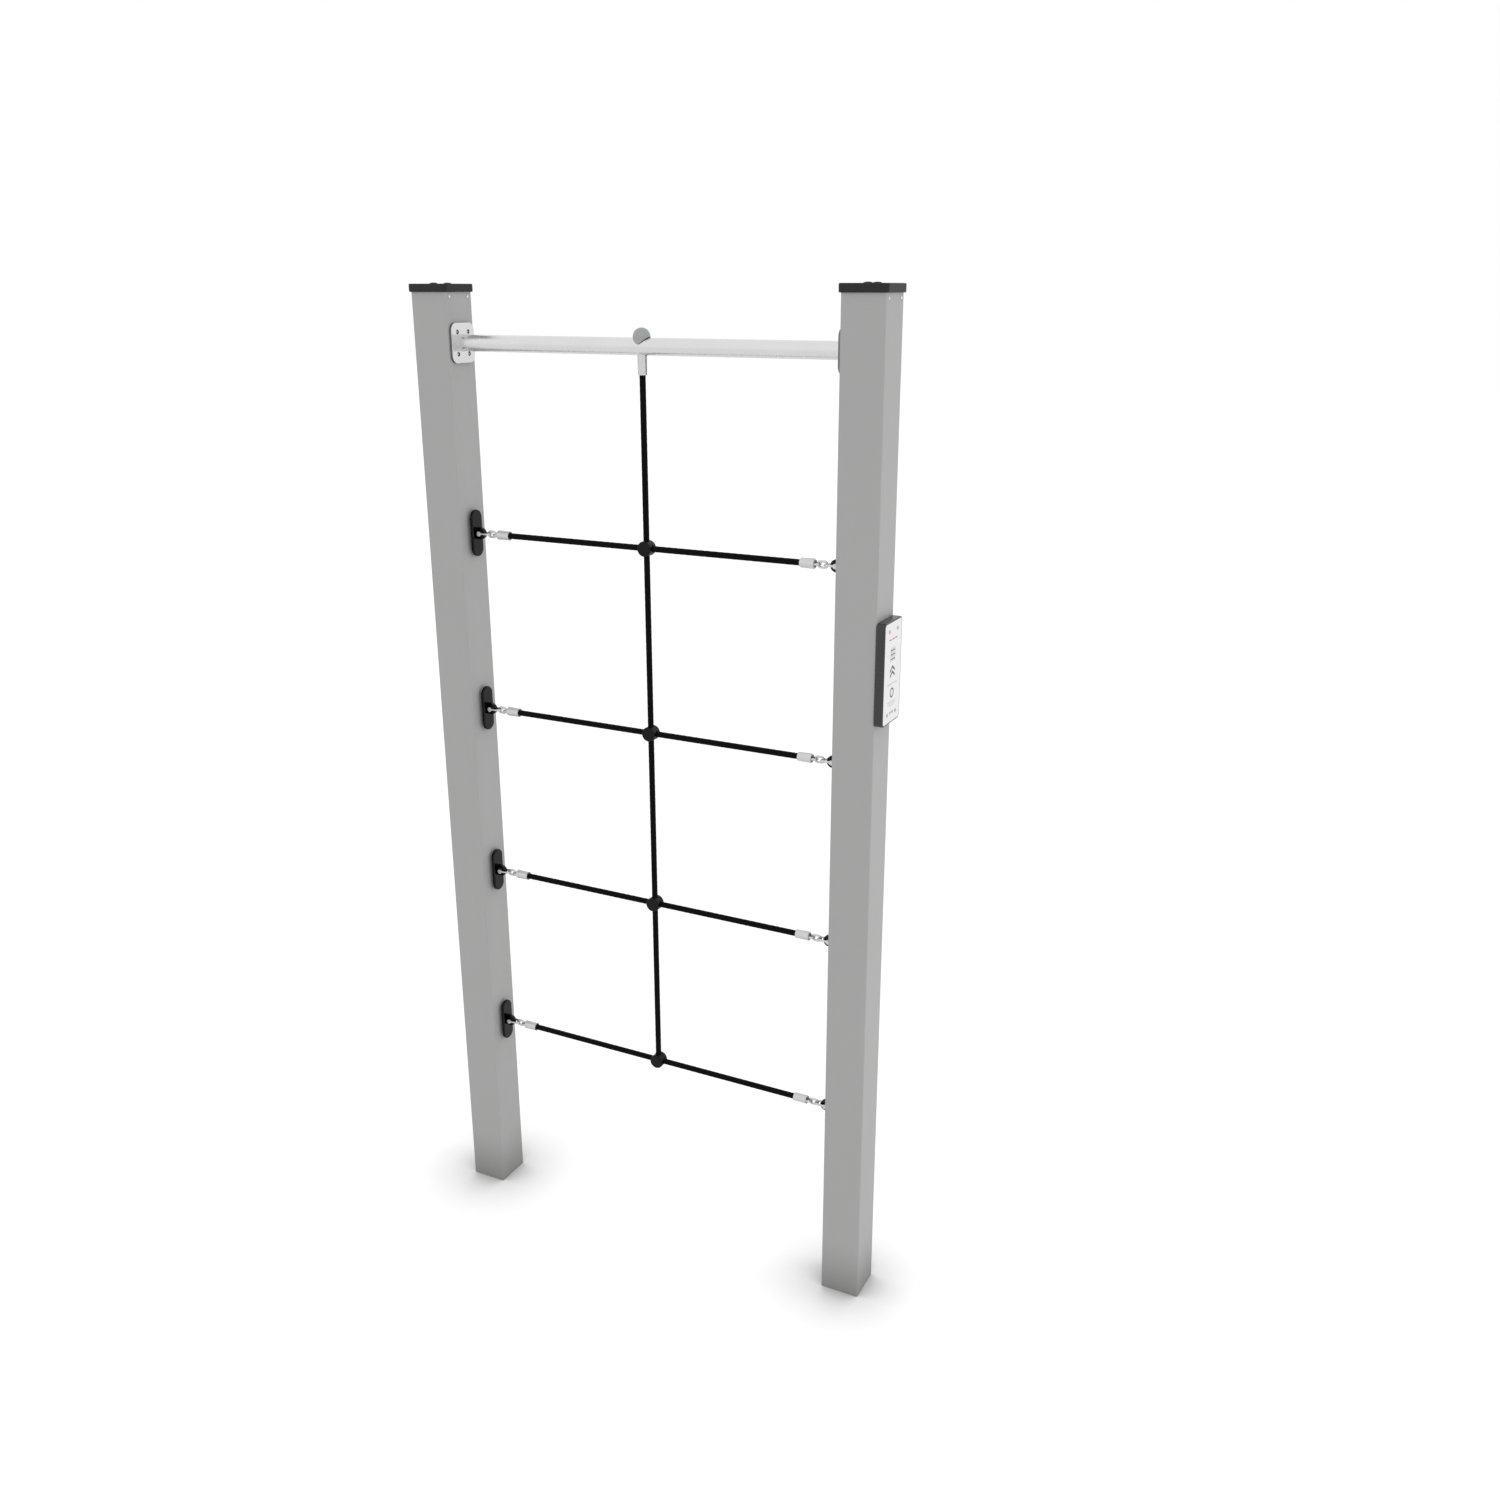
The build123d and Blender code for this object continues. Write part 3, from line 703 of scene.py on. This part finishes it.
# Each crossing of ropes is held by a round clamp of two black moulded shells, which are
# pressed together on four pins.
clamp_dark, clamp_pale = grey(0.001), grey(0.003)
clamp_haze_scale = 70
clamp_pit_scale = 500
clamp_pit_relief = 0.00005
clamp_roughness = (0.33, 0.48)
clamp_shine = 0.18


def clamp_black(point):
    """Black moulded plastic, satin."""
    haze = grain(point, clamp_haze_scale, detail=3)
    return {"Base Color": blend(haze, clamp_dark, clamp_pale),
            "Roughness": between(haze, *clamp_roughness),
            "Normal": raised(grain(point, clamp_pit_scale), clamp_pit_relief)}


clamp_plastic = finish("clamp_plastic", clamp_black, {"Specular IOR Level": clamp_shine})
dress(clamp_plastic, *[f"crossing_clamp_{row}" for row in rope_rows])


# The sign's case is moulded of dark grey plastic, smooth and a little shiny. Four screws hold
# it and its panel to the right post's outer face.
case_dark, case_pale = grey(0.03), grey(0.038)
case_haze_scale = 20
case_grit_scale = 800
case_grit_relief = 0.00002
case_roughness = (0.22, 0.32)
case_shine = 0.42


def case_grey(point):
    """Dark grey plastic from a smooth mould."""
    grit = grain(point, case_grit_scale)
    return {"Base Color": blend(grain(point, case_haze_scale, detail=3), case_dark, case_pale),
            "Roughness": between(grit, *case_roughness),
            "Normal": raised(grit, case_grit_relief)}


case_plastic = finish("case_plastic", case_grey, {"Specular IOR Level": case_shine})
dress(case_plastic, "sign_case")


# The sign's panel is a plate of white laminate that fills the front of the case.
# It is plain, and carries the print of the next section.
panel_dark, panel_pale = grey(0.78), grey(0.82)
panel_haze_scale = 40
panel_roughness = (0.25, 0.35)


def white_laminate(point):
    """White laminate."""
    haze = grain(point, panel_haze_scale, detail=3)
    return {"Base Color": blend(haze, panel_dark, panel_pale),
            "Roughness": between(haze, *panel_roughness)}


panel_white = finish("panel_white", white_laminate, {})
dress(panel_white, "sign_panel")


# The print on the panel is of thick ink that stands a little proud: short bars at the top,
# then a net, two arrows that point up, a rule, a ring, three more rules and three dots.
print_rise = 0.00015
ink_grain_scale = 300
ink_wear_scale = 90
ink_roughness = (0.35, 0.45)
bar_mark_place, bar_mark_width, bar_mark_height = 0.083, 0.013, 0.0032
bar_mark_pitch = 0.019
net_place, net_size, net_pitch = 0.044, 0.034, 0.013
net_rung_pitch = 0.011
net_stroke = 0.0022
arrow_places = (0.006, -0.007)
arrow_half, arrow_rise, arrow_stroke = 0.016, 0.011, 0.006
ring_place, ring_inner, ring_outer = -0.052, 0.0085, 0.0125
round_steps = 40
long_rule_place, long_rule_width, long_rule_height = -0.029, 0.062, 0.0012
short_rules = ((-0.074, 0.052), (-0.079, 0.052), (-0.084, 0.034))
short_rule_height = 0.001
dot_place, dot_radius, dot_pitch = -0.102, 0.0032, 0.0095
panel_low, panel_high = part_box("sign_panel")
panel_middle = (panel_low + panel_high) / 2


def ink(name, dark, pale):
    """Printing ink, a little uneven."""
    def surface(point):
        return {"Base Color": blend(grain(point, ink_grain_scale, detail=3), dark, pale),
                "Roughness": between(grain(point, ink_wear_scale), *ink_roughness)}

    return finish(name, surface, {})


def printed(name, outlines, material):
    """Flat marks on the panel, each given by its corners across and up from the middle."""
    corners, faces = [], []
    for outline in outlines:
        faces.append(tuple(range(len(corners), len(corners) + len(outline))))
        corners += [(panel_high.x, panel_middle.y + across, panel_middle.z + up)
                    for across, up in outline]
    mark = add_mesh(name, corners, faces, material, "frame")
    rise = mark.modifiers.new("rise", "SOLIDIFY")
    rise.thickness = print_rise
    rise.offset = 1
    return mark


def block(across, up, width, height):
    """A rectangle about its middle."""
    return [(across - width / 2, up - height / 2), (across + width / 2, up - height / 2),
            (across + width / 2, up + height / 2), (across - width / 2, up + height / 2)]


def dot(across, up, radius):
    """A round spot."""
    turns = [math.tau * step / round_steps for step in range(round_steps)]
    return [(across + radius * math.cos(turn), up + radius * math.sin(turn)) for turn in turns]


def ring(across, up, inner, outer):
    """A round band of short pieces."""
    turns = [math.tau * step / round_steps for step in range(round_steps + 1)]
    return [[(across + reach * math.cos(turn), up + reach * math.sin(turn))
             for reach, turn in ((inner, a), (outer, a), (outer, b), (inner, b))]
            for a, b in zip(turns, turns[1:])]


def arrow(up):
    """The two limbs of an arrow that points up, both with their corners anticlockwise."""
    return [[(way * arrow_half, up), (0, up + arrow_rise), (0, up + arrow_rise - arrow_stroke),
             (way * arrow_half, up - arrow_stroke)][::way] for way in (-1, 1)]


dark_ink = ink("dark_ink", (0.06, 0.06, 0.062), (0.09, 0.09, 0.092))
grey_ink = ink("grey_ink", grey(0.3), grey(0.36))
red_ink = ink("red_ink", (0.62, 0.06, 0.04), (0.7, 0.1, 0.07))
net_ropes = [block(across, net_place, net_stroke, net_size)
             for across in (-net_pitch, 0, net_pitch)]
net_rungs = [block(across, net_place + up, net_pitch - net_stroke, net_stroke)
             for up in (-net_rung_pitch, 0, net_rung_pitch)
             for across in (-net_pitch / 2, net_pitch / 2)]
printed("sign_net", net_ropes + net_rungs, dark_ink)
printed("sign_arrows", [limb for up in arrow_places for limb in arrow(up)], dark_ink)
printed("sign_ring", ring(0, ring_place, ring_inner, ring_outer), dark_ink)
printed("sign_bars", [block(across, bar_mark_place, bar_mark_width, bar_mark_height)
                      for across in (-bar_mark_pitch, 0, bar_mark_pitch)], red_ink)
printed("sign_rules", [block(0, long_rule_place, long_rule_width, long_rule_height)]
        + [block(0, up, width, short_rule_height) for up, width in short_rules], grey_ink)
printed("sign_dots", [dot(across, dot_place, dot_radius) for across in (-dot_pitch, 0, dot_pitch)],
        grey_ink)


# Colours are shown as they are written.
bpy.context.scene.view_settings.view_transform = "Standard"
